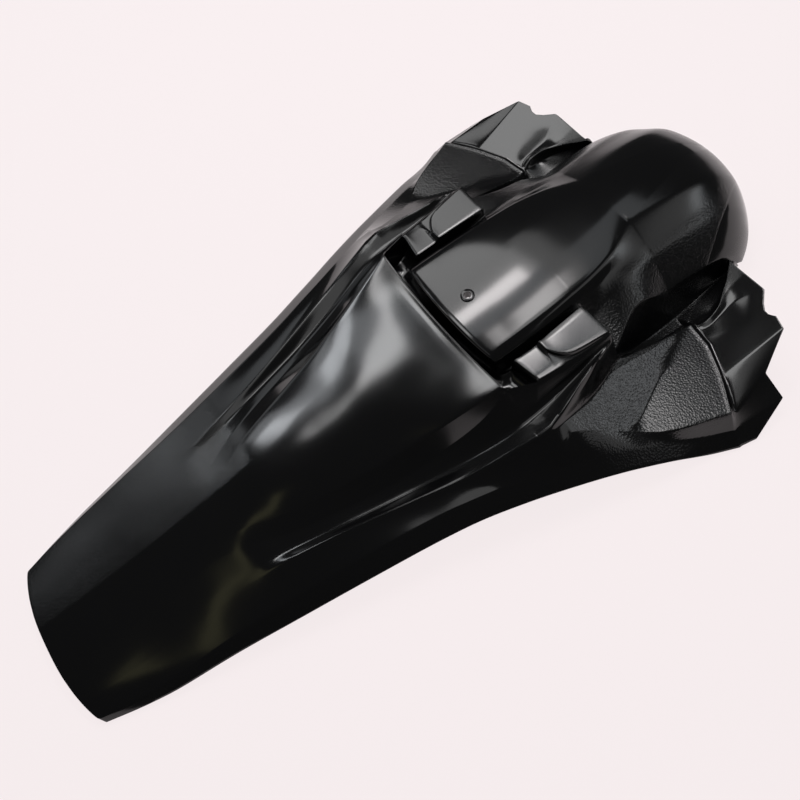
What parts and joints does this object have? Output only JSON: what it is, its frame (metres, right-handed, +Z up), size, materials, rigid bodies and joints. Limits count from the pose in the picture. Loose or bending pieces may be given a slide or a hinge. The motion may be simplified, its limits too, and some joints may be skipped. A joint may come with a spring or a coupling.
{
  "type": "motorcycle rear fender",
  "caption": "Hollow moulded rear fender for an off-road motorcycle, with a raised tail panel, seat pads, wheel dome, side wings and turned lips.",
  "frame": {"origin": "bottom centre of the bounding box: the lowest point of the side lips at Z = 0, the middle of the length at X = 0, the mirror plane at Y = 0", "axes": "+X to the front of the motorcycle, +Y to its left, +Z up"},
  "size_m": [0.6754, 0.4, 0.0837],
  "materials": {
    "moulding": "gloss black, with fine grained areas"
  },
  "bodies": {
    "root": {"fender": "moulding"}
  },
  "joints": []
}
